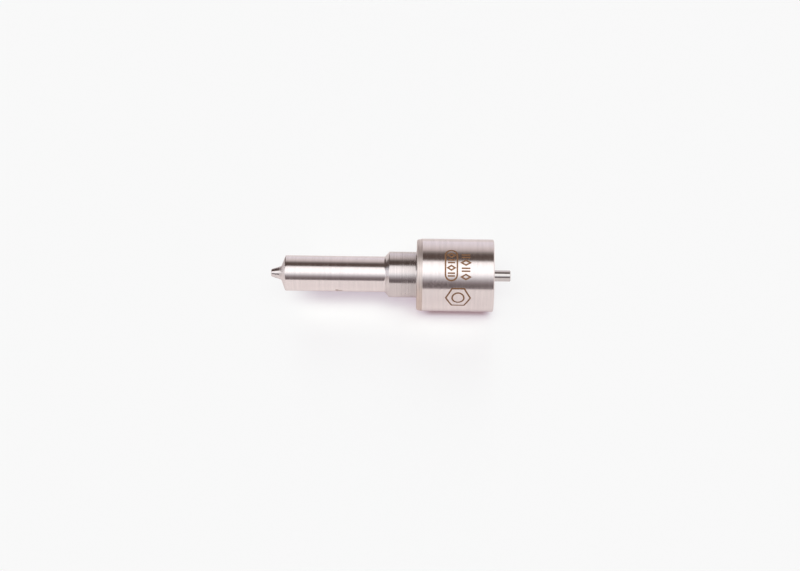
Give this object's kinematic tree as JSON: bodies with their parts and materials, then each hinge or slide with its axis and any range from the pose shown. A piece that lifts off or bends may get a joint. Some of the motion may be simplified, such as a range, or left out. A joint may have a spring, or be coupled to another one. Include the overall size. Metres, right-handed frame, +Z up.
{
  "type": "diesel injector nozzle",
  "caption": "Slim stepped steel injector nozzle with a wide clamping collar, a blunt conical spray nose and a sliding needle valve whose tail stands out of the rear face.",
  "frame": {"origin": "centre of the lapped rear face, on the nozzle's own axis", "axes": "+X out of the rear face along the axis, so the spray nose points along -X; +Z up through the fuel inlet, with the nozzle lying on its collar; +Y completes the right-handed set"},
  "size_m": [0.0472, 0.0142, 0.0142],
  "materials": {
    "ground_steel": "turned and ground bright steel",
    "lapped_steel": "lapped, near mirror",
    "laser_mark": "thin brown oxide lines burnt into the steel by a laser"
  },
  "bodies": {
    "body": {"nozzle_body": "ground_steel"},
    "needle": {"nozzle_needle": "lapped_steel"}
  },
  "joints": [
    {"name": "needle_slide", "type": "slide", "parent": "body", "child": "needle", "axis": [1, 0, 0], "range_m": [0, 0.044]}
  ]
}
